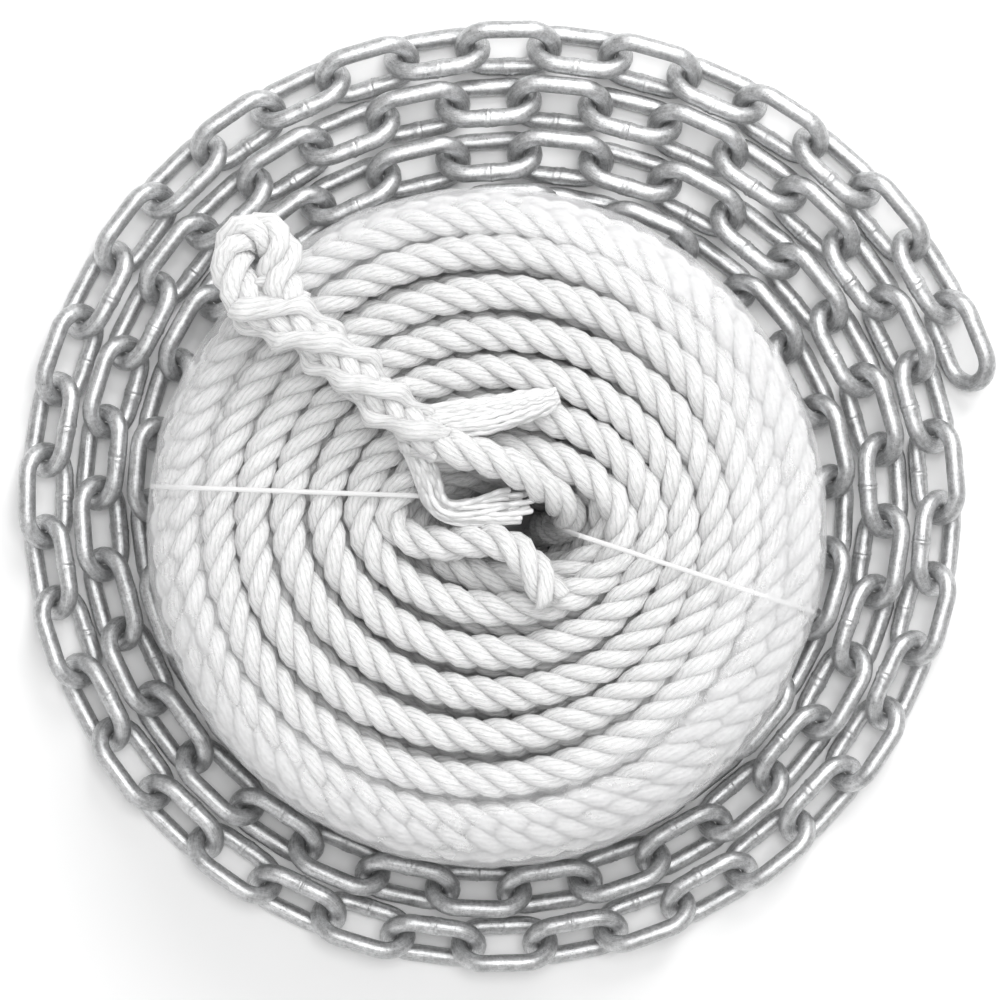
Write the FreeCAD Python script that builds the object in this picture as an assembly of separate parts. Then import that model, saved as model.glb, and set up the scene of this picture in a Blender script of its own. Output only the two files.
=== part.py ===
import FreeCAD, Part
import math
import os

os.makedirs("parts", exist_ok=True)

V = FreeCAD.Vector

# Galvanised welded chain, millimetres
WIRE_D = 7.0
LINK_INSIDE_LENGTH = 29.0
LINK_INSIDE_WIDTH = 12.7
LINK_PLAY = 0.5
WELD_D = 7.9
WELD_LENGTH = 3.6
LINK_COUNT = 156
TAIL_COUNT = 10
GROUP_SIZE = 5
ROLL = math.radians(47.5)
ROLL_JITTER = math.radians(1.3)

# Flat spiral the chain lies in
SPIRAL_CENTRE = (-5.99, -0.68)
SPIRAL_RADIUS = 178.0
SPIRAL_STEP = 21.3
SPIRAL_STEP_GROWTH = 0.05
STEP_FROM = math.radians(-5.0)
STEP_OVER = math.radians(112.0)
FREE_END_ANGLE = math.radians(14.5)

# Three-strand rope coil lying on the chain
ROPE_D = 13.0
STRAND_D = 6.4
COIL_CENTRE = (-7.9, -11.7)
COIL_RADIUS = 126.0
COIL_BOTTOM = 25.6
COIL_TOP = 123.0
COIL_TOP_ROUND = 30.0
COIL_BOTTOM_ROUND = 18.0
HOLE_CENTRE = (-2.0, -8.4)
HOLE_HALF_LENGTH = 37.0
HOLE_HALF_WIDTH = 19.0
HOLE_FOOT_SHARE = 0.5
HOLE_TURN = -8.0

# Clear film and twine round the coil
FILM_GAP = 2.2
FILM_THICKNESS = 0.4
FILM_EDGE_RADIUS = 74.0
TWINE_D = 1.4
TWINE_GAP = 0.2
TIE_INSET = 4.0
TIE_BEND = 3.0
TIE_ANGLES = (("tie_twine_left", 173.0), ("tie_twine_right", -14.5))

# Spliced eye end: splice axis, then the eye from leg to leg
SPLICE_START = V(-91.0, 75.0, 136.4)
SPLICE_END = V(-27.0, 19.0, 135.0)
SPLICE_THICK = 10.5
SPLICE_THIN = 8.2
EYE_ROUTE = [V(-95.5, 70.2, 136.4), V(-101.5, 80.5, 135.5), V(-102.3, 91.5, 134.2),
             V(-96.5, 98.3, 133.5), V(-87.5, 97.0, 133.8), V(-82.6, 88.5, 135.0),
             V(-86.2, 79.6, 136.4)]
STANDING_ROUTE = [V(-27.0, 19.0, 135.0), V(-7.0, 14.5, 132.2), V(11.0, 6.0, 125.5),
                  V(23.0, -5.0, 111.0), V(24.0, -11.0, 92.0), V(17.0, -12.5, 70.0),
                  V(12.5, -13.0, 46.0), V(13.0, -19.0, 38.0), V(17.5, -20.5, 34.0)]
INNER_END_ROUTE = [V(-45.0, -6.0, 116.5), V(-40.0, -15.0, 117.0), V(-24.0, -18.5, 118.5),
                   V(-6.5, -15.0, 122.5), V(7.5, -21.5, 128.0), V(16.5, -38.5, 130.0)]
TAIL_ROUTES = (
    ("strand_tail_1", [V(-31.0, 24.0, 131.5), V(-12.0, 28.0, 127.8), V(4.0, 31.5, 127.0),
                       V(19.0, 36.5, 127.0)]),
    ("strand_tail_2", [V(-33.0, 18.5, 131.0), V(-26.0, 8.0, 126.0), V(-23.0, -2.5, 123.0),
                       V(-12.0, -5.5, 122.5), V(2.0, -3.5, 120.0)]),
)


def save(node, shape):
    shape.exportStep("parts/" + node + ".step")


def at_angle(radius, angle):
    return V(SPIRAL_CENTRE[0] + radius * math.cos(angle), SPIRAL_CENTRE[1] + radius * math.sin(angle), 0)


def spiral_radius(angle):
    """Rings of constant radius joined by a smooth step inwards, so the turns lie like a real pile."""
    turns = (angle - STEP_FROM) / (2 * math.pi)
    ring = math.floor(turns)
    part = min(1.0, (turns - ring) * 2 * math.pi / STEP_OVER)
    part = part * part * (3 - 2 * part)
    count = ring + part - 1
    return SPIRAL_RADIUS - SPIRAL_STEP * count - SPIRAL_STEP_GROWTH * max(0.0, count) ** 2


def joint_points():
    """Points where neighbouring links bear on each other, one pitch apart along the spiral."""
    spacing = LINK_INSIDE_LENGTH - LINK_PLAY
    angle = FREE_END_ANGLE
    points = [at_angle(spiral_radius(angle), angle)]
    for _ in range(LINK_COUNT):
        low = angle
        high = angle + 2.2 * spacing / spiral_radius(angle)
        for _ in range(40):
            middle = (low + high) / 2
            if (at_angle(spiral_radius(middle), middle) - points[-1]).Length < spacing:
                low = middle
            else:
                high = middle
        angle = (low + high) / 2
        points.append(at_angle(spiral_radius(angle), angle))
    return points


def link_roll(index):
    """Roll of a link about its long axis: sides alternate, with a small fixed variation."""
    side = 1 if index % 2 else -1
    return side * (ROLL + ROLL_JITTER * math.sin(2.4 * index))


def rod(start, end, radius):
    along = end - start
    return Part.makeCylinder(radius, along.Length, start, along)


def bow(side, radius, half_leg):
    """Half a ring of wire closing one end of a link."""
    centre = V(side * half_leg, 0, 0)
    section = Part.Face(Part.Wire(Part.makeCircle(WIRE_D / 2, centre + V(0, -radius, 0), V(1, 0, 0))))
    return section.revolve(centre, V(0, 0, side), 180)


def link_shape():
    """One welded link flat in XY, long along X, with the weld upset in the middle of one leg."""
    radius = (LINK_INSIDE_WIDTH + WIRE_D) / 2
    half_leg = (LINK_INSIDE_LENGTH - LINK_INSIDE_WIDTH) / 2
    legs = [rod(V(-half_leg, side * radius, 0), V(half_leg, side * radius, 0), WIRE_D / 2)
            for side in (-1, 1)]
    bows = [bow(side, radius, half_leg) for side in (-1, 1)]
    half_weld = WELD_LENGTH / 2
    weld = rod(V(-half_weld, radius, 0), V(half_weld, radius, 0), WELD_D / 2)
    weld = weld.makeChamfer(0.35, weld.Edges[0:1] + weld.Edges[2:3])
    return legs[0].multiFuse(legs[1:] + bows + [weld]).removeSplitter()


def placed_link(master, points, index):
    along = points[index + 1] - points[index]
    roll = link_roll(index)
    radius = (LINK_INSIDE_WIDTH + WIRE_D) / 2
    height = radius * math.sin(abs(roll)) + WIRE_D / 2
    if roll < 0:
        # the weld is on the low leg
        height += (WELD_D - WIRE_D) / 2
    middle = (points[index] + points[index + 1]) * 0.5
    heading = math.degrees(math.atan2(along.y, along.x))
    turn = FreeCAD.Rotation(V(0, 0, 1), heading).multiply(FreeCAD.Rotation(V(1, 0, 0), math.degrees(roll)))
    link = master.copy()
    link.Placement = FreeCAD.Placement(V(middle.x, middle.y, height), turn)
    return link


def chain():
    master = link_shape()
    points = joint_points()
    for index in range(TAIL_COUNT):
        save("chain_link_%02d" % (index + 1), placed_link(master, points, index))
    group = 0
    for first in range(TAIL_COUNT, LINK_COUNT - 1, GROUP_SIZE):
        group += 1
        last = min(first + GROUP_SIZE, LINK_COUNT - 1)
        links = [placed_link(master, points, index) for index in range(first, last)]
        save("chain_run_%02d" % group, Part.makeCompound(links))
    save("chain_inner_end_link", placed_link(master, points, LINK_COUNT - 1))
    return points


def coil_outline(gap):
    """Outside of the coil's section from the bottom inwards edge to the top, grown by a gap."""
    radius = COIL_RADIUS + gap
    bottom = COIL_BOTTOM - gap
    top = COIL_TOP + gap
    low_round = COIL_BOTTOM_ROUND + gap
    top_round = COIL_TOP_ROUND + gap
    low = V(radius - low_round, 0, bottom + low_round)
    high = V(radius - top_round, 0, top - top_round)
    bend = math.sqrt(0.5)
    low_arc = Part.Arc(V(radius - low_round, 0, bottom), low + V(bend, 0, -bend) * low_round,
                       V(radius, 0, bottom + low_round))
    high_arc = Part.Arc(V(radius, 0, top - top_round), high + V(bend, 0, bend) * top_round,
                        V(radius - top_round, 0, top))
    side = Part.makeLine(V(radius, 0, bottom + low_round), V(radius, 0, top - top_round))
    return low_arc.toShape(), side, high_arc.toShape()


def revolved(edges, inner, bottom, top):
    """Solid of revolution closed along a vertical inner edge, moved to the coil's centre."""
    first = edges[0].valueAt(edges[0].FirstParameter)
    last = edges[-1].valueAt(edges[-1].LastParameter)
    closing = [Part.makeLine(V(inner, 0, bottom), first)]
    closing += list(edges)
    closing += [Part.makeLine(last, V(inner, 0, top)), Part.makeLine(V(inner, 0, top), V(inner, 0, bottom))]
    solid = Part.Face(Part.Wire(closing)).revolve(V(0, 0, 0), V(0, 0, 1), 360)
    solid.translate(V(COIL_CENTRE[0], COIL_CENTRE[1], 0))
    return solid


def hole_ellipse(height, share):
    ellipse = Part.Ellipse(V(0, 0, 0), HOLE_HALF_LENGTH * share, HOLE_HALF_WIDTH * share)
    wire = Part.Wire(ellipse.toShape())
    turn = FreeCAD.Rotation(V(0, 0, 1), HOLE_TURN)
    wire.Placement = FreeCAD.Placement(V(HOLE_CENTRE[0], HOLE_CENTRE[1], height), turn)
    return wire


def hole_funnel():
    """Long hole through the coil, narrower at its foot, a little longer than the coil at each end."""
    slope = (1 - HOLE_FOOT_SHARE) / (COIL_TOP - COIL_BOTTOM)
    foot = hole_ellipse(COIL_BOTTOM - 5, HOLE_FOOT_SHARE - 5 * slope)
    mouth = hole_ellipse(COIL_TOP + 5, 1 + 5 * slope)
    return Part.makeLoft([foot, mouth], True)


def rope_coil():
    outline = coil_outline(0.0)
    body = revolved(outline, 0.0, COIL_BOTTOM, COIL_TOP)
    save("rope_coil", body.cut(hole_funnel()))


def film():
    """Skin of stretch film from under the coil, round its side and over the shoulder of its top."""
    outer_gap = FILM_GAP + FILM_THICKNESS
    outer = revolved(coil_outline(outer_gap), FILM_EDGE_RADIUS, COIL_BOTTOM - outer_gap, COIL_TOP + outer_gap)
    inner = revolved(coil_outline(FILM_GAP), FILM_EDGE_RADIUS - 5, COIL_BOTTOM - FILM_GAP, COIL_TOP + FILM_GAP)
    save("film_wrap", outer.cut(inner))


def swept(points, radius, closed=False):
    """Round cord along straight runs joined by tangent arcs."""
    count = len(points)
    corners = range(count) if closed else range(1, count - 1)
    cuts = {}
    for index in corners:
        before = points[index - 1] - points[index]
        after = points[(index + 1) % count] - points[index]
        cut = 0.45 * min(before.Length, after.Length)
        into = points[index] + before.normalize() * cut
        out = points[index] + after.normalize() * cut
        cuts[index] = (into, out)
    edges = []
    for index in range(count if closed else count - 1):
        start = cuts[index][1] if index in cuts else points[index]
        following = (index + 1) % count
        end = cuts[following][0] if following in cuts else points[following]
        edges.append(Part.makeLine(start, end))
        if following in cuts:
            edges.append(corner_arc(cuts[following][0], points[following], cuts[following][1]))
    spine = Part.Wire(edges)
    first = edges[0]
    section = Part.Wire(Part.makeCircle(radius, first.valueAt(0), first.tangentAt(0)))
    return spine.makePipeShell([section], True, False, 2)


def corner_arc(start, corner, end):
    """Arc tangent to both runs at a corner."""
    chord_middle = (start + end) * 0.5
    half_chord = (end - start).Length / 2
    inward = chord_middle - corner
    depth = inward.Length
    leg = math.sqrt(half_chord ** 2 + depth ** 2)
    radius = half_chord * leg / depth
    rise = radius - math.sqrt(max(0.0, radius ** 2 - half_chord ** 2))
    return Part.Arc(start, chord_middle - inward.normalize() * rise, end).toShape()


def tie(angle_deg):
    """Closed loop of twine over the coil, down its side, under it and up through the hole."""
    out = TWINE_GAP + TWINE_D / 2
    heading = FreeCAD.Rotation(V(0, 0, 1), angle_deg)
    centre = V(COIL_CENTRE[0], COIL_CENTRE[1], 0)
    offset = V(HOLE_CENTRE[0], HOLE_CENTRE[1], 0) - centre
    inner = offset.dot(heading.multVec(V(1, 0, 0))) + HOLE_HALF_LENGTH - TIE_INSET
    foot = inner - HOLE_HALF_LENGTH * (1 - HOLE_FOOT_SHARE)
    low = COIL_BOTTOM - out
    high = COIL_TOP + out
    bend = TIE_BEND
    outline = coil_outline(out)
    edges = list(outline)
    edges.append(Part.makeLine(V(COIL_RADIUS - COIL_TOP_ROUND, 0, high), V(inner + bend, 0, high)))
    mouth_corner = V(inner, 0, high)
    foot_corner = V(foot, 0, low)
    down = (foot_corner - mouth_corner).normalize() * bend
    edges.append(corner_arc(V(inner + bend, 0, high), mouth_corner, mouth_corner + down))
    edges.append(Part.makeLine(mouth_corner + down, foot_corner - down))
    edges.append(corner_arc(foot_corner - down, foot_corner, V(foot + bend, 0, low)))
    edges.append(Part.makeLine(V(foot + bend, 0, low), V(COIL_RADIUS - COIL_BOTTOM_ROUND, 0, low)))
    spine = Part.Wire(edges)
    start = V(COIL_RADIUS - COIL_BOTTOM_ROUND, 0, low)
    section = Part.Wire(Part.makeCircle(TWINE_D / 2, start, V(1, 0, 0)))
    loop = spine.makePipeShell([section], True, False, 2)
    loop.Placement = FreeCAD.Placement(centre, heading)
    return loop


def eye_splice():
    """Body of the splice: strands tucked back into the rope, thick at the eye, tapered to the rope."""
    along = SPLICE_END - SPLICE_START
    taper = Part.makeCone(SPLICE_THICK, SPLICE_THIN, along.Length, SPLICE_START, along)
    return taper.makeFillet(1.2, [edge for edge in taper.Edges if len(edge.Vertexes) == 1])


def rope_ends():
    save("eye_splice", eye_splice())
    save("rope_eye", swept(EYE_ROUTE, ROPE_D / 2))
    save("rope_standing_part", swept(STANDING_ROUTE, ROPE_D / 2))
    save("rope_inner_end", swept(INNER_END_ROUTE, ROPE_D / 2))
    for node, route in TAIL_ROUTES:
        save(node, swept(route, STRAND_D / 2))


def ties():
    for node, angle_deg in TIE_ANGLES:
        save(node, tie(angle_deg))


bearing_points = chain()
rope_coil()
film()
ties()
rope_ends()
print("rope radius %.1f mm, strand tail radius %.1f mm, twine radius %.1f mm"
      % (ROPE_D / 2, STRAND_D / 2, TWINE_D / 2))
print("chain %.0f mm long along its bearing points"
      % (LINK_COUNT * (LINK_INSIDE_LENGTH - LINK_PLAY)))
for number in range(1, TAIL_COUNT + 1):
    pivot = bearing_points[number]
    print("hinge of link %02d at %.3f %.3f" % (number, pivot.x, pivot.y))
for name, index in (("outer", 0), ("inner", LINK_COUNT - 1)):
    middle = (bearing_points[index] + bearing_points[index + 1]) * 0.5
    run = bearing_points[index + 1] - bearing_points[index]
    print("%s end link at %.3f %.3f heading %.2f roll %.2f"
          % (name, middle.x, middle.y, math.degrees(math.atan2(run.y, run.x)), math.degrees(link_roll(index))))
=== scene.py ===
import math
import random

import bpy
import numpy as np
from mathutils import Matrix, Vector
from mathutils import noise


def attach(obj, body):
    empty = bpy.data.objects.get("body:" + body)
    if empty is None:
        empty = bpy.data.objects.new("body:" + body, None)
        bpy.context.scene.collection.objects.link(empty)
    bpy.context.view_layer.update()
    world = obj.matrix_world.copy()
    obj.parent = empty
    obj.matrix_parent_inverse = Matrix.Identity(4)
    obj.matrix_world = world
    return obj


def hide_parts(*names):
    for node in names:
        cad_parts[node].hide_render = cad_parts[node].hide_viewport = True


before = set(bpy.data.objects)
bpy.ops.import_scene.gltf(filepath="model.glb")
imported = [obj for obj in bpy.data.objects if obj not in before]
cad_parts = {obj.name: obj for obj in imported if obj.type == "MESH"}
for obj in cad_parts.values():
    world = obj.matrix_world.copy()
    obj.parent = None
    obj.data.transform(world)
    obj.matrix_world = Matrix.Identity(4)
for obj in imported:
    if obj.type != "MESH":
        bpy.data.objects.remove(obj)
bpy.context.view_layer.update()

# Camera, metres
CAMERA_XY = (-0.0029, -0.0014)
CAMERA_HEIGHT = 1.75
VIEW_WIDTH = 0.398
SENSOR = 36.0

# Chain, metres
WIRE_D = 0.0070
LINK_INSIDE_LENGTH = 0.0290
LINK_INSIDE_WIDTH = 0.0127
LINK_PLAY = 0.0005
LINK_COUNT = 156
TAIL_COUNT = 10
GROUP_SIZE = 5
ROLL = math.radians(47.5)
ROLL_JITTER = math.radians(1.3)
WELD_RISE = 0.00045
WELD_LENGTH = 0.0042
SPIRAL_CENTRE = (-0.00599, -0.00068)
SPIRAL_RADIUS = 0.178
SPIRAL_STEP = 0.0213
SPIRAL_STEP_GROWTH = 0.00005
STEP_FROM = math.radians(-5.0)
STEP_OVER = math.radians(112.0)
FREE_END_ANGLE = math.radians(14.5)

# Rope: three strands, right-laid
ROPE_D = 0.0130
LAY_LENGTH = 0.0335
STRAND_OUT = 0.00355
STRAND_RADIAL = 0.00335
STRAND_TANGENTIAL = 0.00400
YARNS_AROUND = 11
YARN_TWIST = 0.45
EYE_PUFF = 0.24
SPLICE_PUFF = 0.10
STRAND_VERTS = 12
STRAND_DOME = 0.0018
RING_STEP = 0.0043

# Coil: flat layers wound outwards and inwards in turn, hole off centre and longer than wide
COIL_CENTRE = (-0.0079, -0.0117)
COIL_RADIUS = 0.126
COIL_BOTTOM = 0.0256
COIL_TOP = 0.123
COIL_TOP_ROUND = 0.022
COIL_BOTTOM_ROUND = 0.018
HOLE_CENTRE = (-0.0020, -0.0084)
HOLE_HALF_LENGTH = 0.034
HOLE_HALF_WIDTH = 0.016
HOLE_FOOT_SHARE = 0.5
HOLE_TURN = math.radians(-8.0)
LAYER_RADII = (0.1090, 0.1185, 0.1195, 0.1195, 0.1195, 0.1195, 0.1195, 0.1165)
LAYER_TURNS = (7.09, 8.13, 8.15, 8.06, 7.93, 8.20, 7.90, 7.10)
LEVEL_TURN = 0.95
POINTS_PER_TURN = 16
CLIMB_TURN = 0.16
TOP_LAYER_END = math.radians(172.0)

# Splice, unlaid strands, and film with a hazy white outer part, partly film lying several deep and partly
# painted haze
TUCK_PITCH = 0.074
YARN_RADIUS = 0.00118
YARN_CRIMP = 0.00042
YARN_DOME = 0.0008
FILM_GAP = 0.0022
FILM_EDGE_RADIUS = 0.074
FILM_AROUND = 300
FILM_EDGE_ROWS = 10
FILM_EDGE_WANDER = 0.012
# Centre of the film's clear top; away from it the film turns white, from lying several deep and from painted
# haze
FILM_CLEAR_CENTRE = (-0.0150, -0.0060)

# Flat ties under the film: piece, node, angle and how far it has slipped sideways at the middle
TIE_GAP = 0.0013
TIE_INSET = 0.004
TIE_THICK = 0.0011
TIE_WIDE = 0.0020
TIES = (("tie_left", "tie_twine_left", math.radians(173.0), -0.011),
        ("tie_right", "tie_twine_right", math.radians(-14.5), 0.008))

# Routes of the free ends, metres, eye first
EYE_ROUTE = [(-0.0800, 0.0705, 0.1362), (-0.0862, 0.0796, 0.1364), (-0.0826, 0.0885, 0.1350),
             (-0.0875, 0.0970, 0.1338), (-0.0965, 0.0983, 0.1335), (-0.1023, 0.0915, 0.1342),
             (-0.1015, 0.0805, 0.1355), (-0.0955, 0.0702, 0.1364)]
SPLICE_ROUTE = [(-0.0775, 0.0632, 0.1362), (-0.0590, 0.0478, 0.1358), (-0.0430, 0.0325, 0.1354)]
STANDING_ROUTE = [(-0.0270, 0.0190, 0.1350), (-0.0070, 0.0145, 0.1322), (0.0110, 0.0060, 0.1255),
                  (0.0230, -0.0050, 0.1110), (0.0240, -0.0110, 0.0920), (0.0170, -0.0125, 0.0700),
                  (0.0125, -0.0130, 0.0460), (0.0130, -0.0190, 0.0380), (0.0175, -0.0205, 0.0340)]
INNER_END_ROUTE = [(-0.0450, -0.0060, 0.1165), (-0.0400, -0.0150, 0.1170), (-0.0240, -0.0185, 0.1185),
                   (-0.0065, -0.0150, 0.1225), (0.0075, -0.0215, 0.1280), (0.0165, -0.0385, 0.1300)]
TAIL_1_ROUTE = [(-0.0360, 0.0270, 0.1330), (-0.0150, 0.0285, 0.1300), (0.0020, 0.0310, 0.1295),
                (0.0185, 0.0360, 0.1290)]
TAIL_2_ROUTE = [(-0.0365, 0.0215, 0.1330), (-0.0295, 0.0090, 0.1290), (-0.0265, -0.0050, 0.1245),
                (-0.0120, -0.0065, 0.1235), (0.0085, -0.0022, 0.1175)]


def camera():
    data = bpy.data.cameras.new("camera")
    data.sensor_width = SENSOR
    data.lens = SENSOR * (CAMERA_HEIGHT - 0.010) / VIEW_WIDTH
    data.clip_end = 20.0
    cam = bpy.data.objects.new("camera", data)
    cam.location = (CAMERA_XY[0], CAMERA_XY[1], CAMERA_HEIGHT)
    bpy.context.collection.objects.link(cam)
    bpy.context.scene.camera = cam


def hermite(x):
    x = min(1.0, max(0.0, x))
    return x * x * (3 - 2 * x)


def coil_point(outer, inward, foot_share, angle, height):
    """Point of a turn: round at the outside, and further inward shaped like the long hole of its layer."""
    long_axis = outer + inward * (HOLE_HALF_LENGTH * foot_share + ROPE_D / 2 - outer)
    short_axis = outer + inward * (HOLE_HALF_WIDTH * foot_share + ROPE_D / 2 - outer)
    drift = inward ** 1.2
    x = COIL_CENTRE[0] + drift * (HOLE_CENTRE[0] - COIL_CENTRE[0])
    y = COIL_CENTRE[1] + drift * (HOLE_CENTRE[1] - COIL_CENTRE[1])
    tilt = HOLE_TURN * inward
    u = long_axis * math.cos(angle - tilt)
    v = short_axis * math.sin(angle - tilt)
    return (x + u * math.cos(tilt) - v * math.sin(tilt),
            y + u * math.sin(tilt) + v * math.cos(tilt), height)


def coil_points():
    """Route points of every turn, from the inside of the bottom layer to the inside of the top one."""
    angle = TOP_LAYER_END - 2 * math.pi * sum(LAYER_TURNS)
    last = len(LAYER_TURNS) - 1
    spacing = (COIL_TOP - COIL_BOTTOM - ROPE_D) / last
    outside_spline = 4 / (3 + math.cos(2 * math.pi / POINTS_PER_TURN))
    points = []
    for layer, turns in enumerate(LAYER_TURNS):
        steps = round(turns * POINTS_PER_TURN)
        for step in range(steps):
            share = (step + 0.5) / steps
            here = angle + 2 * math.pi * turns * share
            from_outside = turns * (1 - share if layer % 2 == 0 else share)
            inward = max(0.0, from_outside - LEVEL_TURN) / (turns - LEVEL_TURN)
            level = layer
            if layer > 0:
                level -= 1 - hermite(0.5 + turns * share / CLIMB_TURN / 2)
            if layer < last:
                level += 1 - hermite(0.5 + turns * (1 - share) / CLIMB_TURN / 2)
            wave = math.sin(3.1 * here + 1.7 * layer) + 0.6 * math.sin(5.3 * here + layer)
            height = COIL_BOTTOM + ROPE_D / 2 + level * spacing + 0.0005 * wave
            outer = float(np.interp(level, range(last + 1), LAYER_RADII))
            if layer == last:
                height += 0.0006 * wave - 0.0010 - 0.0050 * hermite(1 - inward / 0.4)
                outer += 0.0010 * math.sin(2.3 * here + 0.8)
            foot_share = HOLE_FOOT_SHARE + (1 - HOLE_FOOT_SHARE) * (level / last) ** 3
            points.append(coil_point(outer * outside_spline, inward, foot_share, here, height))
        angle += 2 * math.pi * turns
    return points


def smooth_line(name, points, step):
    """Points a fixed step apart, read from a NURBS spline with these control points."""
    data = bpy.data.curves.new(name, "CURVE")
    data.dimensions = "3D"
    spline = data.splines.new("NURBS")
    spline.points.add(len(points) - 1)
    for target, source in zip(spline.points, points):
        target.co = (source[0], source[1], source[2], 1.0)
    spline.order_u = 3
    spline.use_endpoint_u = True
    spline.resolution_u = 8
    guide = bpy.data.objects.new(name, data)
    bpy.context.collection.objects.link(guide)
    bpy.context.view_layer.update()
    mesh = bpy.data.meshes.new_from_object(guide)
    line = np.array([v.co[:] for v in mesh.vertices])
    bpy.data.objects.remove(guide)
    bpy.data.meshes.remove(mesh)
    run = np.concatenate(([0.0], np.cumsum(np.linalg.norm(np.diff(line, axis=0), axis=1))))
    count = max(4, round(run[-1] / step))
    at = np.linspace(0.0, run[-1], count + 1)
    return np.stack([np.interp(at, run, line[:, k]) for k in range(3)], axis=1), at


def frames_along(line):
    """Tangent, normal and side at each point, turning as little as possible along the line."""
    tangent = np.gradient(line, axis=0)
    tangent /= np.linalg.norm(tangent, axis=1)[:, None]
    normal = np.zeros_like(tangent)
    seed = np.array([0.0, 0.0, 1.0])
    if abs(tangent[0] @ seed) > 0.9:
        seed = np.array([1.0, 0.0, 0.0])
    current = seed - tangent[0] * (seed @ tangent[0])
    normal[0] = current / np.linalg.norm(current)
    for k in range(1, len(line)):
        current = normal[k - 1] - tangent[k] * (normal[k - 1] @ tangent[k])
        normal[k] = current / np.linalg.norm(current)
    return tangent, normal, np.cross(tangent, normal)


def tube_rings(centres, normal, side, radial, tangential, lean, verts):
    """Rings of a tube whose oval section has its short axis along lean, one row per point."""
    turn = np.linspace(0, 2 * math.pi, verts, endpoint=False)
    own = turn[None, :] - lean[:, None]
    out = radial[:, None] * np.cos(own)
    across = tangential[:, None] * np.sin(own)
    a = out * np.cos(lean)[:, None] - across * np.sin(lean)[:, None]
    b = out * np.sin(lean)[:, None] + across * np.cos(lean)[:, None]
    return centres[:, None, :] + a[:, :, None] * normal[:, None, :] + b[:, :, None] * side[:, None, :]


def mesh_object(name, verts, faces, material, uvs=None):
    mesh = bpy.data.meshes.new(name)
    mesh.from_pydata(verts, [], faces)
    if uvs is not None:
        layer = mesh.uv_layers.new(name="along")
        layer.data.foreach_set("uv", np.array(uvs, dtype=np.float32).ravel())
    mesh.polygons.foreach_set("use_smooth", np.ones(len(mesh.polygons), dtype=bool))
    mesh.materials.append(material)
    mesh.update()
    obj = bpy.data.objects.new(name, mesh)
    bpy.context.collection.objects.link(obj)
    return obj


def tubes_object(name, tubes, material):
    """One mesh from tubes, each (rings, run); UV is round the tube and along it in metres."""
    verts = []
    faces = []
    uvs = []
    for rings, run in tubes:
        base = len(verts)
        rows, cols = rings.shape[:2]
        verts.extend(rings.reshape(-1, 3).tolist())
        for r in range(rows - 1):
            for c in range(cols):
                d = (c + 1) % cols
                first = base + r * cols
                second = first + cols
                faces.append((first + c, first + d, second + d, second + c))
                u0 = c / cols
                u1 = (c + 1) / cols
                uvs.extend(((u0, run[r]), (u1, run[r]), (u1, run[r + 1]), (u0, run[r + 1])))
        for row, order in ((0, range(cols - 1, -1, -1)), (rows - 1, range(cols))):
            faces.append(tuple(base + row * cols + c for c in order))
            uvs.extend((c / cols, run[row]) for c in order)
    return mesh_object(name, verts, faces, material, uvs)


def capped(rings, depth):
    """The same rings with a low dome added at both ends."""
    out = [rings]
    for end, inner in ((0, 1), (-1, -2)):
        middle = rings[end].mean(axis=0)
        away = middle - rings[inner].mean(axis=0)
        away *= depth / np.linalg.norm(away)
        dome = [middle + (rings[end] - middle) * math.cos(turn) + away * math.sin(turn)
                for turn in (0.55, 1.05, 1.40)]
        if end == 0:
            out.insert(0, np.array(dome[::-1]))
        else:
            out.append(np.array(dome))
    return np.concatenate(out)


def capped_run(run, depth):
    """Distance along the tube for the rings that capped() returns."""
    return np.concatenate((run[0] - depth * np.array([0.99, 0.87, 0.52]), run,
                           run[-1] + depth * np.array([0.52, 0.87, 0.99])))


def laid_rope(name, points, material):
    """Three-strand rope along a route, puffed at the eye and opening slightly at the sealed end."""
    line, run = smooth_line(name + "_line", points, RING_STEP)
    _, normal, side = frames_along(line)
    eye_end = run[nearest(line, EYE_ROUTE[-1])]
    splice_end = run[nearest(line, STANDING_ROUTE[0])]
    puff = 1 + np.interp(run, [0, eye_end, eye_end + 0.02, splice_end, splice_end + 0.03],
                         [EYE_PUFF, EYE_PUFF, SPLICE_PUFF, SPLICE_PUFF, 0.0])
    opened = np.clip((run - run[-1] + 0.016) / 0.016, 0, 1) ** 2
    tubes = []
    for strand in range(3):
        lean = 2 * math.pi * (strand / 3 + run / LAY_LENGTH)
        out = STRAND_OUT * puff + 0.0008 * opened
        centres = line + out[:, None] * (np.cos(lean)[:, None] * normal + np.sin(lean)[:, None] * side)
        swell = puff * (1 + 0.04 * np.sin(run * 410 + strand * 2.1) + 0.03 * np.sin(run * 173 + strand))
        rings = tube_rings(centres, normal, side, STRAND_RADIAL * swell, STRAND_TANGENTIAL * swell, lean,
                           STRAND_VERTS)
        tubes.append((capped(rings, STRAND_DOME), capped_run(run + strand * 7.31, STRAND_DOME)))
    return tubes_object(name, tubes, material), line, run


def nearest(line, point):
    return int(np.argmin(np.linalg.norm(line - np.array(point), axis=1)))


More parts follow.
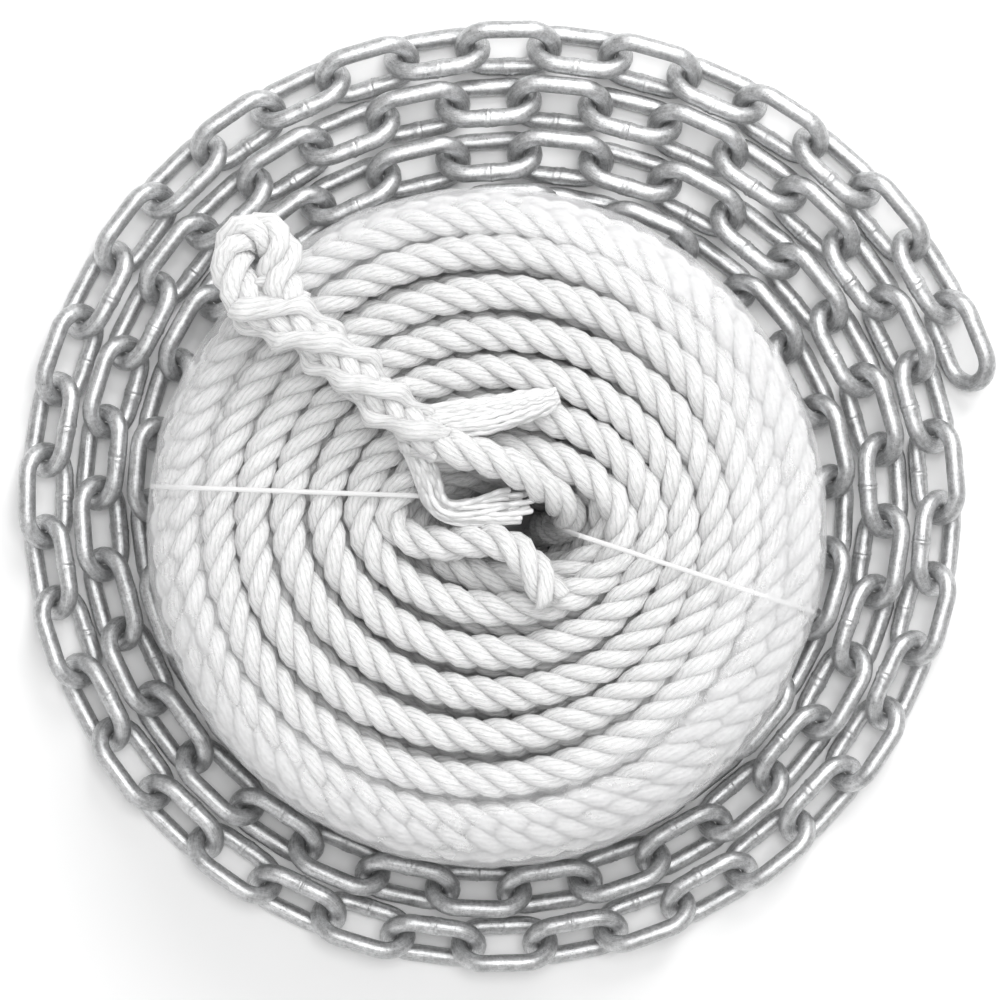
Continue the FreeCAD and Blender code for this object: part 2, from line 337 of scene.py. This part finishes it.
def splice_tucks(line, run, material):
    """Three strands of the rope's end, laid back over and under the strands of the standing rope."""
    first = nearest(line, EYE_ROUTE[-1]) - 1
    last = nearest(line, STANDING_ROUTE[0]) + 1
    at = np.linspace(run[first], run[last - 1], 110)
    core = np.stack([np.interp(at, run[first:last], line[first:last, k]) for k in range(3)], axis=1)
    _, normal, side = frames_along(core)
    past = at - at[0]
    along = past / past[-1]
    tubes = []
    for strand in range(3):
        lean = 2 * math.pi * (strand / 3 + 0.10 - past / TUCK_PITCH)
        crossing = lean - 2 * math.pi * at / LAY_LENGTH
        weave = np.cos(1.5 * crossing + math.pi * strand)
        out = (0.0080 - 0.0014 * along) + (0.0015 - 0.0003 * along) * weave
        centres = core + out[:, None] * (np.cos(lean)[:, None] * normal + np.sin(lean)[:, None] * side)
        thick = (0.0044 - 0.0010 * along) * (1 + 0.12 * weave)
        rings = tube_rings(centres, normal, side, 0.80 * thick, 1.2 * thick, lean, STRAND_VERTS)
        tubes.append((capped(rings, STRAND_DOME), capped_run(at + strand * 3.3, STRAND_DOME)))
    return tubes_object("splice_tucks", tubes, material)


def yarn_bundle(name, route, rows, swell, twist, ragged, material):
    """Unlaid strand along a short route: yarns in flat rows, each row (count, width, height)."""
    line, run = smooth_line(name + "_line", route, 0.0015)
    _, normal, side = frames_along(line)
    share = run / run[-1]
    rng = random.Random(len(route))
    fullness = np.interp(share, (0.0, 0.5, 0.8, 1.0), swell)
    tubes = []
    for count, width, height in rows:
        for yarn in range(count):
            place = (yarn + 0.5) / count - 0.5
            sway = (0.0004 + 0.0010 * ragged * share) * np.sin(share * rng.uniform(4, 9) + rng.uniform(0, 6))
            wide = width * place * fullness + sway
            crimp = YARN_CRIMP * np.sin(run * rng.uniform(820, 1050) + rng.uniform(0, 6))
            high = height * np.cos(place * 2.2) * fullness + sway[::-1] + crimp
            turned = twist * share
            up = high * np.cos(turned) + wide * np.sin(turned)
            across = wide * np.cos(turned) - high * np.sin(turned)
            centres = line + up[:, None] * normal + across[:, None] * side
            keep = max(8, round(len(line) * (1 - 0.16 * ragged * rng.random())))
            thick = np.full(keep, YARN_RADIUS * rng.uniform(0.85, 1.10))
            rings = tube_rings(centres[:keep], normal[:keep], side[:keep], thick, thick, np.zeros(keep), 8)
            tubes.append((capped(rings, YARN_DOME), capped_run(run[:keep] + yarn * 1.7, YARN_DOME)))
    return tubes_object(name, tubes, material)


def wrap_profile(gap):
    """Half section this far outside the coil, as (radius, height), from below round the side to the top."""
    radius = COIL_RADIUS + gap
    bottom = COIL_BOTTOM - gap
    top = COIL_TOP + gap
    low_round = COIL_BOTTOM_ROUND + gap
    top_round = COIL_TOP_ROUND + gap
    points = [(r, bottom) for r in np.linspace(FILM_EDGE_RADIUS, radius - low_round, 8, endpoint=False)]
    for turn in np.linspace(-math.pi / 2, 0, 10, endpoint=False):
        points.append((radius - low_round + low_round * math.cos(turn),
                       bottom + low_round + low_round * math.sin(turn)))
    points += [(radius, z) for z in np.linspace(bottom + low_round, top - top_round, 12, endpoint=False)]
    for turn in np.linspace(0, math.pi / 2, 22, endpoint=False):
        points.append((radius - top_round + top_round * math.cos(turn),
                       top - top_round + top_round * math.sin(turn)))
    points += [(r, top) for r in np.linspace(radius - top_round, FILM_EDGE_RADIUS, FILM_EDGE_ROWS)]
    return points


def film(material):
    """Crinkled skin of stretch film over the coil's outside, open over the middle."""
    around = FILM_AROUND
    profile = wrap_profile(FILM_GAP)
    edge_row = len(profile) - FILM_EDGE_ROWS
    verts = []
    for row, (radius, height) in enumerate(profile):
        for k in range(around):
            turn = 2 * math.pi * k / around
            x = math.cos(turn)
            y = math.sin(turn)
            crease = noise.noise(Vector((x * 9, y * 9, height * 55))) * 0.0006
            crease += abs(noise.noise(Vector((x * 24, y * 24, height * 18 + 3)))) * 0.0005
            edge = 0.0
            if row >= edge_row:
                edge = noise.noise(Vector((x * 3, y * 3, 7.0))) * FILM_EDGE_WANDER
                edge *= (row - edge_row) / (FILM_EDGE_ROWS - 1)
            reach = radius + crease * (1 if row > 7 else 0) + edge
            verts.append((COIL_CENTRE[0] + reach * x, COIL_CENTRE[1] + reach * y, height + crease * 0.5))
    faces = []
    for row in range(len(profile) - 1):
        for k in range(around):
            following = (k + 1) % around
            faces.append((row * around + k, row * around + following,
                          (row + 1) * around + following, (row + 1) * around + k))
    return mesh_object("film", verts, faces, material)


def tie(name, angle, slip, material):
    """Flat twine round the coil: down through the hole, under the coil, up its side and over the top."""
    heading = np.array([math.cos(angle), math.sin(angle)])
    across = np.array([-math.sin(angle), math.cos(angle)])
    centre = np.array(COIL_CENTRE)
    to_hole = (np.array(HOLE_CENTRE) - centre) @ heading
    outline = wrap_profile(TIE_GAP)
    bottom = outline[0][1]
    top = outline[-1][1]
    section = []
    for level in (1.0, 0.97, 0.8, 0.6, 0.4, 0.2, 0.03, 0.0):
        share = HOLE_FOOT_SHARE + (1 - HOLE_FOOT_SHARE) * level ** 3
        section.append((to_hole + HOLE_HALF_LENGTH * share - TIE_INSET, bottom + (top - bottom) * level))
    section += outline
    section += [(section[0][0] + 0.003, top), section[0]]
    route = []
    for radius, height in section:
        place = centre + heading * radius + across * slip * (1 - radius / COIL_RADIUS)
        route.append((place[0], place[1], height))
    line, run = smooth_line(name + "_line", route, 0.002)
    tangent, _, _ = frames_along(line)
    side = np.tile((across[0], across[1], 0.0), (len(line), 1))
    thick = np.full(len(line), TIE_THICK / 2)
    wide = np.full(len(line), TIE_WIDE / 2)
    rings = tube_rings(line, np.cross(side, tangent), side, thick, wide, np.zeros(len(line)), 10)
    return tubes_object(name, [(rings, run)], material)


class Nodes:
    """Short calls for building a node tree."""

    def __init__(self, name):
        self.material = bpy.data.materials.new(name)
        self.material.use_nodes = True
        self.tree = self.material.node_tree
        self.tree.nodes.clear()
        self.output = self.tree.nodes.new("ShaderNodeOutputMaterial")

    def add(self, kind, **values):
        node = self.tree.nodes.new("ShaderNode" + kind)
        for key, value in values.items():
            setattr(node, key, value)
        return node

    def link(self, source, target):
        self.tree.links.new(source, target)

    def math(self, operation, first, second):
        node = self.add("Math", operation=operation)
        for socket, value in zip(node.inputs, (first, second)):
            if isinstance(value, (int, float)):
                socket.default_value = value
            else:
                self.link(value, socket)
        return node.outputs[0]

    def ramp(self, source, stops):
        node = self.add("ValToRGB")
        elements = node.color_ramp.elements
        while len(elements) < len(stops):
            elements.new(0.5)
        for element, (place, colour) in zip(elements, stops):
            element.position = place
            element.color = (*colour, 1.0) if len(colour) == 3 else colour
        self.link(source, node.inputs[0])
        return node.outputs[0]

    def noise(self, vector, scale, detail=3.0, roughness=0.55):
        node = self.add("TexNoise")
        node.inputs["Scale"].default_value = scale
        node.inputs["Detail"].default_value = detail
        node.inputs["Roughness"].default_value = roughness
        self.link(vector, node.inputs["Vector"])
        return node.outputs[0]

    def bump(self, height, strength, distance, normal=None):
        node = self.add("Bump")
        node.inputs["Strength"].default_value = strength
        node.inputs["Distance"].default_value = distance
        self.link(height, node.inputs["Height"])
        if normal is not None:
            self.link(normal, node.inputs["Normal"])
        return node.outputs[0]

    def principled(self, **values):
        node = self.add("BsdfPrincipled")
        for key, value in values.items():
            node.inputs[key.replace("_", " ")].default_value = value
        return node


def strand_space(nodes, around, along):
    """Texture space wrapped round a strand, with its grain between the strand's run and the rope's."""
    uv = nodes.add("UVMap", uv_map="along")
    apart = nodes.add("SeparateXYZ")
    nodes.link(uv.outputs[0], apart.inputs[0])
    twist = nodes.math("MULTIPLY", apart.outputs[1], YARN_TWIST / LAY_LENGTH)
    phase = nodes.math("ADD", apart.outputs[0], twist)
    turn = nodes.math("MULTIPLY", phase, 2 * math.pi)
    place = nodes.add("CombineXYZ")
    nodes.link(nodes.math("MULTIPLY", nodes.math("COSINE", turn, 0), around), place.inputs[0])
    nodes.link(nodes.math("MULTIPLY", nodes.math("SINE", turn, 0), around), place.inputs[1])
    nodes.link(nodes.math("MULTIPLY", apart.outputs[1], along), place.inputs[2])
    return place.outputs[0], phase


def rope_material():
    """Bright filament yarns lying almost along the rope, silky where they crown; the colour holds painted
    shade in the grooves between yarns and painted glints along the fibres.
    """
    nodes = Nodes("white_rope")
    coarse_space, phase = strand_space(nodes, 1.6, 150.0)
    fine_space, _ = strand_space(nodes, 7.0, 300.0)
    drift = nodes.noise(coarse_space, 1.0, 2.0)
    fibres = nodes.noise(fine_space, 1.0, 3.0, 0.6)
    shifted = nodes.math("ADD", phase, nodes.math("MULTIPLY", drift, 0.10))
    ridge = nodes.math("SINE", nodes.math("MULTIPLY", shifted, math.pi * YARNS_AROUND), 0)
    yarns = nodes.math("POWER", nodes.math("ABSOLUTE", ridge, 0), 0.6)
    # Painted light in the colour: shade painted into the yarn grooves and glints painted from the fibre noise
    groove_shade_and_glints = nodes.math("ADD", nodes.math("MULTIPLY", yarns, 0.30), nodes.math("MULTIPLY", fibres, 0.70))
    colour = nodes.ramp(groove_shade_and_glints, [(0.44, (0.72, 0.72, 0.72)), (0.56, (0.87, 0.87, 0.87)),
                                (0.66, (0.98, 0.98, 0.98))])
    shader = nodes.principled(IOR=1.5, Sheen_Weight=0.15, Sheen_Roughness=0.4, Subsurface_Weight=0.5,
                              Subsurface_Scale=0.007, Specular_IOR_Level=1.0)
    shader.inputs["Subsurface Radius"].default_value = (1.0, 1.0, 1.0)
    nodes.link(colour, shader.inputs["Base Color"])
    rough = nodes.math("ADD", nodes.math("MULTIPLY", fibres, 0.30), 0.16)
    nodes.link(rough, shader.inputs["Roughness"])
    coarse = nodes.bump(yarns, 0.40, 0.0005)
    nodes.link(nodes.bump(fibres, 0.90, 0.0013, coarse), shader.inputs["Normal"])
    nodes.link(shader.outputs[0], nodes.output.inputs["Surface"])
    return nodes.material


def yarn_material():
    """Loose shiny yarns: fine lines along each, no strand pattern."""
    nodes = Nodes("white_yarn")
    uv = nodes.add("UVMap", uv_map="along")
    apart = nodes.add("SeparateXYZ")
    nodes.link(uv.outputs[0], apart.inputs[0])
    place = nodes.add("CombineXYZ")
    nodes.link(nodes.math("MULTIPLY", apart.outputs[0], 9.0), place.inputs[0])
    nodes.link(nodes.math("MULTIPLY", apart.outputs[1], 420.0), place.inputs[1])
    fibres = nodes.noise(place.outputs[0], 1.0, 3.0)
    colour = nodes.ramp(fibres, [(0.35, (0.88, 0.88, 0.88)), (0.62, (0.99, 0.99, 0.99))])
    shader = nodes.principled(Roughness=0.28, IOR=1.5, Specular_IOR_Level=1.0, Sheen_Weight=0.2,
                              Subsurface_Weight=0.5, Subsurface_Scale=0.007)
    shader.inputs["Subsurface Radius"].default_value = (1.0, 1.0, 1.0)
    nodes.link(colour, shader.inputs["Base Color"])
    nodes.link(nodes.bump(fibres, 0.35, 0.0004), shader.inputs["Normal"])
    nodes.link(shader.outputs[0], nodes.output.inputs["Surface"])
    return nodes.material


def zinc_material():
    """Hot-dip zinc: bright grey with fine mottling, die lines along the wire and small dark pits."""
    nodes = Nodes("galvanised_zinc")
    place = nodes.add("TexCoord").outputs["Object"]
    mottle = nodes.noise(place, 700.0, 5.0, 0.7)
    clouds = nodes.noise(place, 150.0, 3.0)
    pits = nodes.noise(place, 1500.0, 2.0, 0.5)
    uv = nodes.add("UVMap", uv_map="along")
    apart = nodes.add("SeparateXYZ")
    nodes.link(uv.outputs[0], apart.inputs[0])
    turn = nodes.math("MULTIPLY", apart.outputs[0], 2 * math.pi)
    wrapped = nodes.add("CombineXYZ")
    nodes.link(nodes.math("MULTIPLY", nodes.math("COSINE", turn, 0), 7.0), wrapped.inputs[0])
    nodes.link(nodes.math("MULTIPLY", nodes.math("SINE", turn, 0), 7.0), wrapped.inputs[1])
    nodes.link(nodes.math("MULTIPLY", apart.outputs[1], 90.0), wrapped.inputs[2])
    lines = nodes.noise(wrapped.outputs[0], 1.0, 3.0, 0.6)
    blend = nodes.math("ADD", nodes.math("MULTIPLY", mottle, 0.45), nodes.math("MULTIPLY", clouds, 0.25))
    blend = nodes.math("ADD", blend, nodes.math("MULTIPLY", lines, 0.30))
    colour = nodes.ramp(blend, [(0.36, (0.32, 0.323, 0.327)), (0.50, (0.56, 0.564, 0.568)),
                                (0.62, (0.77, 0.775, 0.78))])
    dark = nodes.ramp(pits, [(0.27, (0.30, 0.30, 0.30)), (0.34, (1.0, 1.0, 1.0))])
    mix = nodes.add("Mix", data_type="RGBA", blend_type="MULTIPLY")
    mix.inputs[0].default_value = 0.9
    nodes.link(colour, mix.inputs[6])
    nodes.link(dark, mix.inputs[7])
    shader = nodes.principled(Metallic=0.85)
    nodes.link(mix.outputs[2], shader.inputs["Base Color"])
    rough = nodes.math("ADD", nodes.math("MULTIPLY", mottle, 0.40), 0.20)
    nodes.link(rough, shader.inputs["Roughness"])
    coarse = nodes.bump(lines, 0.30, 0.0004)
    fine = nodes.bump(mottle, 0.35, 0.0004, coarse)
    nodes.link(fine, shader.inputs["Normal"])
    nodes.link(shader.outputs[0], nodes.output.inputs["Surface"])
    return nodes.material


def floor():
    bpy.ops.mesh.primitive_plane_add(size=8.0, location=(0, 0, -0.0002))
    plane = bpy.context.object
    plane.name = "floor"
    nodes = Nodes("floor")
    shader = nodes.principled(Roughness=0.6)
    shader.inputs["Base Color"].default_value = (0.92, 0.92, 0.92, 1)
    nodes.link(shader.outputs[0], nodes.output.inputs["Surface"])
    plane.data.materials.append(nodes.material)


def area_light(name, place, aim, size, energy):
    data = bpy.data.lights.new(name, "AREA")
    data.shape = "DISK"
    data.size = size
    data.energy = energy
    lamp = bpy.data.objects.new(name, data)
    lamp.location = place
    lamp.rotation_euler = (Vector(aim) - Vector(place)).to_track_quat("-Z", "Y").to_euler()
    bpy.context.collection.objects.link(lamp)


def lights():
    world = bpy.data.worlds.new("studio")
    world.use_nodes = True
    world.node_tree.nodes["Background"].inputs[0].default_value = (1, 1, 1, 1)
    world.node_tree.nodes["Background"].inputs[1].default_value = 0.52
    bpy.context.scene.world = world
    area_light("key", (0.60, 1.45, 1.5), (0, 0, 0.05), 1.2, 26.0)
    area_light("top", (0.20, 0.22, 2.4), (0, 0, 0), 1.2, 24.0)
    area_light("fill", (-0.9, -1.3, 0.9), (0, 0, 0.05), 0.9, 3.0)
    bpy.context.scene.view_settings.view_transform = "Standard"


def at_angle(radius, angle):
    return np.array([SPIRAL_CENTRE[0] + radius * math.cos(angle),
                     SPIRAL_CENTRE[1] + radius * math.sin(angle)])


def spiral_radius(angle):
    turns = (angle - STEP_FROM) / (2 * math.pi)
    ring = math.floor(turns)
    count = ring + hermite((turns - ring) * 2 * math.pi / STEP_OVER) - 1
    return SPIRAL_RADIUS - SPIRAL_STEP * count - SPIRAL_STEP_GROWTH * max(0.0, count) ** 2


def bearing_points():
    """Points where neighbouring links bear on each other, one pitch apart along the spiral."""
    spacing = LINK_INSIDE_LENGTH - LINK_PLAY
    angle = FREE_END_ANGLE
    points = [at_angle(spiral_radius(angle), angle)]
    for _ in range(LINK_COUNT):
        low = angle
        high = angle + 2.2 * spacing / spiral_radius(angle)
        for _ in range(40):
            middle = (low + high) / 2
            if np.linalg.norm(at_angle(spiral_radius(middle), middle) - points[-1]) < spacing:
                low = middle
            else:
                high = middle
        angle = (low + high) / 2
        points.append(at_angle(spiral_radius(angle), angle))
    return points


def link_centreline():
    """Closed stadium line of a link flat in XY, closely spaced round the weld in its +Y leg."""
    radius = (LINK_INSIDE_WIDTH + WIRE_D) / 2
    half = (LINK_INSIDE_LENGTH - LINK_INSIDE_WIDTH) / 2
    weld_leg = [-1.0, -0.62, -0.38, -0.30, -0.25, -0.20, -0.14, -0.08, -0.04, 0.0, 0.04, 0.08, 0.14, 0.20,
                0.25, 0.30, 0.38, 0.62]
    plain_leg = [-1.0, -0.6, -0.2, 0.2, 0.6]
    points = []
    for side, leg in ((1, weld_leg), (-1, plain_leg)):
        points.extend((side * half * -x, side * radius) for x in leg)
        for k in range(13):
            turn = math.pi / 2 + math.pi * k / 13
            points.append((side * (-half + radius * math.cos(turn)), side * radius * math.sin(turn)))
    return np.array(points)


def weld_height(along, turn, seed):
    """Rise of the butt weld over the wire: a lumpy collar with a seam across it and a burr on one side."""
    slant = 0.0007 * math.cos(turn - 1.9 * seed)
    collar = 1 / (1 + math.exp((abs(along - slant) - WELD_LENGTH / 2) / 0.00055))
    lumps = noise.noise(Vector((2.2 * math.cos(turn), 2.2 * math.sin(turn), along * 900 + seed * 3.7)))
    burr = max(0.0, math.cos(turn - 2.4 * seed)) ** 6
    seam = math.exp(-(along / 0.00030) ** 2)
    return WELD_RISE * (collar * (0.55 + 0.95 * lumps + 0.35 * burr) - 0.5 * seam * (1 + lumps))


def link_verts(line, seed, ring):
    """Wire swept along the link, with an uneven weld in the middle of one leg."""
    count = len(line)
    ahead = np.roll(line, -1, axis=0) - np.roll(line, 1, axis=0)
    ahead /= np.linalg.norm(ahead, axis=1)[:, None]
    out = np.stack([ahead[:, 1], -ahead[:, 0]], axis=1)
    outward = np.sign(np.sum(out * line, axis=1))
    out *= np.where(outward == 0, 1, outward)[:, None]
    rng = random.Random(seed)
    shift = rng.uniform(-0.0006, 0.0006)
    verts = np.zeros((count, ring, 3))
    for k in range(count):
        on_weld_leg = line[k, 1] > 0 and abs(line[k, 0]) < 0.0035
        for j in range(ring):
            turn = 2 * math.pi * j / ring
            radius = WIRE_D / 2 + 0.00007 * noise.noise(Vector((k * 0.5, j * 0.7, seed * 1.3)))
            if on_weld_leg:
                radius += weld_height(line[k, 0] - shift, turn, seed)
            flat = radius * math.cos(turn)
            verts[k, j] = (line[k, 0] + out[k, 0] * flat, line[k, 1] + out[k, 1] * flat,
                           radius * math.sin(turn))
    return verts


def placed(verts, points, index):
    run = points[index + 1] - points[index]
    heading = math.atan2(run[1], run[0])
    side = 1 if index % 2 else -1
    roll = side * (ROLL + ROLL_JITTER * math.sin(2.4 * index))
    middle = (points[index] + points[index + 1]) / 2
    height = (LINK_INSIDE_WIDTH + WIRE_D) / 2 * math.sin(abs(roll)) + WIRE_D / 2
    if roll < 0:
        height += WELD_RISE
    flat = verts.reshape(-1, 3)
    y = flat[:, 1] * math.cos(roll) - flat[:, 2] * math.sin(roll)
    z = flat[:, 1] * math.sin(roll) + flat[:, 2] * math.cos(roll)
    x = flat[:, 0]
    return np.stack([middle[0] + x * math.cos(heading) - y * math.sin(heading),
                     middle[1] + x * math.sin(heading) + y * math.cos(heading), z + height], axis=1)


def links_object(name, indices, points, material):
    """One mesh of neighbouring links; UV is round the wire and along it in metres."""
    ring = 14
    line = link_centreline()
    count = len(line)
    steps = np.linalg.norm(np.roll(line, -1, axis=0) - line, axis=1)
    run = np.concatenate(([0.0], np.cumsum(steps)))
    verts = []
    faces = []
    uvs = []
    for index in indices:
        base = len(verts)
        verts.extend(placed(link_verts(line, index, ring), points, index).tolist())
        for k in range(count):
            following = (k + 1) % count
            for j in range(ring):
                nxt = (j + 1) % ring
                faces.append((base + k * ring + j, base + following * ring + j,
                              base + following * ring + nxt, base + k * ring + nxt))
                u0 = j / ring
                u1 = (j + 1) / ring
                uvs.extend(((u0, run[k]), (u0, run[k + 1]), (u1, run[k + 1]), (u1, run[k])))
    return mesh_object(name, verts, faces, material, uvs)


def chain():
    zinc = zinc_material()
    points = bearing_points()
    for index in range(TAIL_COUNT):
        node = "chain_link_%02d" % (index + 1)
        link = links_object("link_%02d" % (index + 1), [index], points, zinc)
        belongs(link, "galvanised_zinc", node + "_body", node)
    group = 0
    for first in range(TAIL_COUNT, LINK_COUNT - 1, GROUP_SIZE):
        group += 1
        last = min(first + GROUP_SIZE, LINK_COUNT - 1)
        run = links_object("links_%02d" % group, range(first, last), points, zinc)
        belongs(run, "galvanised_zinc", "chain_coil", "chain_run_%02d" % group)
    end = links_object("link_inner_end", [LINK_COUNT - 1], points, zinc)
    belongs(end, "galvanised_zinc", "chain_coil", "chain_inner_end_link")


def belongs(piece, slot, body, *nodes):
    if nodes:
        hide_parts(*nodes)
    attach(piece, body)


def rope():
    white = rope_material()
    loose = yarn_material()
    route = EYE_ROUTE + SPLICE_ROUTE + STANDING_ROUTE + coil_points() + INNER_END_ROUTE
    piece, line, run = laid_rope("rope", route, white)
    belongs(piece, "white_rope", "rope_hank", "rope_coil", "rope_eye", "rope_standing_part", "rope_inner_end")
    tucks = splice_tucks(line, run, white)
    belongs(tucks, "white_rope", "rope_hank", "eye_splice")
    tail_1 = yarn_bundle("tail_1", TAIL_1_ROUTE,
                         ((8, 0.0105, 0.0032), (9, 0.0120, 0.0010), (8, 0.0110, -0.0012)),
                         (0.80, 1.25, 1.10, 0.70), 0.9, 0.15, loose)
    belongs(tail_1, "white_rope", "rope_hank", "strand_tail_1")
    tail_2 = yarn_bundle("tail_2", TAIL_2_ROUTE,
                         ((6, 0.0085, 0.0022), (7, 0.0095, 0.0004), (6, 0.0085, -0.0014)),
                         (0.95, 0.85, 1.35, 1.25), 0.5, 1.0, loose)
    belongs(tail_2, "white_rope", "rope_hank", "strand_tail_2")


def film_material():
    """Clear film, white and hazy at the side and over the outer top: partly film lying several deep, partly a
    painted haze standing in for its grazing reflection.
    """
    nodes = Nodes("clear_film")
    place = nodes.add("TexCoord").outputs["Object"]
    apart = nodes.add("SeparateXYZ")
    nodes.link(place, apart.inputs[0])
    folds = nodes.noise(place, 70.0, 4.0, 0.6)
    lines = nodes.noise(place, 260.0, 3.0, 0.6)
    # Opacity rising down the steep side: partly the film lying several deep, partly painted grazing
    # reflection
    side = nodes.ramp(nodes.math("MULTIPLY", apart.outputs[2], 8.0),
                      [(0.70, (0.55, 0.55, 0.55)), (0.97, (0.0, 0.0, 0.0))])
    flat = nodes.add("CombineXYZ")
    nodes.link(apart.outputs[0], flat.inputs[0])
    nodes.link(apart.outputs[1], flat.inputs[1])
    reach = nodes.add("VectorMath", operation="DISTANCE")
    nodes.link(flat.outputs[0], reach.inputs[0])
    reach.inputs[1].default_value = (*FILM_CLEAR_CENTRE, 0.0)
    wander = nodes.math("MULTIPLY", nodes.noise(place, 16.0, 2.0), 0.10)
    # Opacity rising over the outer top: film lying several deep and painted haze
    top = nodes.ramp(nodes.math("ADD", nodes.math("MULTIPLY", reach.outputs[1], 8.0), wander),
                     [(0.80, (0.03, 0.03, 0.03)), (0.87, (0.18, 0.18, 0.18)), (1.05, (0.33, 0.33, 0.33))])
    layered_and_painted_haze = nodes.math("MAXIMUM", side, top)
    milk_and_painted_haze = nodes.math("MULTIPLY", layered_and_painted_haze, nodes.math("ADD", nodes.math("MULTIPLY", folds, 1.2), 0.4))
    shader = nodes.principled(Roughness=0.16, IOR=1.45, Specular_IOR_Level=0.8)
    shader.inputs["Base Color"].default_value = (0.93, 0.93, 0.94, 1)
    nodes.link(milk_and_painted_haze, shader.inputs["Alpha"])
    coarse = nodes.bump(folds, 0.5, 0.002)
    nodes.link(nodes.bump(lines, 0.25, 0.0006, coarse), shader.inputs["Normal"])
    nodes.link(shader.outputs[0], nodes.output.inputs["Surface"])
    return nodes.material


def twine_material():
    """Smooth flat plastic tie, white and slightly clear, with fine lines along it."""
    nodes = Nodes("white_twine")
    uv = nodes.add("UVMap", uv_map="along")
    apart = nodes.add("SeparateXYZ")
    nodes.link(uv.outputs[0], apart.inputs[0])
    place = nodes.add("CombineXYZ")
    nodes.link(nodes.math("MULTIPLY", apart.outputs[0], 26.0), place.inputs[0])
    nodes.link(nodes.math("MULTIPLY", apart.outputs[1], 60.0), place.inputs[1])
    lines = nodes.noise(place.outputs[0], 1.0, 3.0)
    colour = nodes.ramp(lines, [(0.35, (0.78, 0.78, 0.78)), (0.65, (0.88, 0.88, 0.88))])
    shader = nodes.principled(Roughness=0.35, Subsurface_Weight=0.3, Subsurface_Scale=0.002,
                              Alpha=0.75)
    shader.inputs["Subsurface Radius"].default_value = (1.0, 1.0, 1.0)
    nodes.link(colour, shader.inputs["Base Color"])
    nodes.link(nodes.bump(lines, 0.4, 0.0003), shader.inputs["Normal"])
    nodes.link(shader.outputs[0], nodes.output.inputs["Surface"])
    return nodes.material


def wrapping():
    skin = film(film_material())
    belongs(skin, "clear_film", "rope_hank", "film_wrap")
    twine = twine_material()
    for name, node, angle, slip in TIES:
        belongs(tie(name, angle, slip, twine), "white_twine", "rope_hank", node)


camera()
rope()
chain()
wrapping()
floor()
lights()
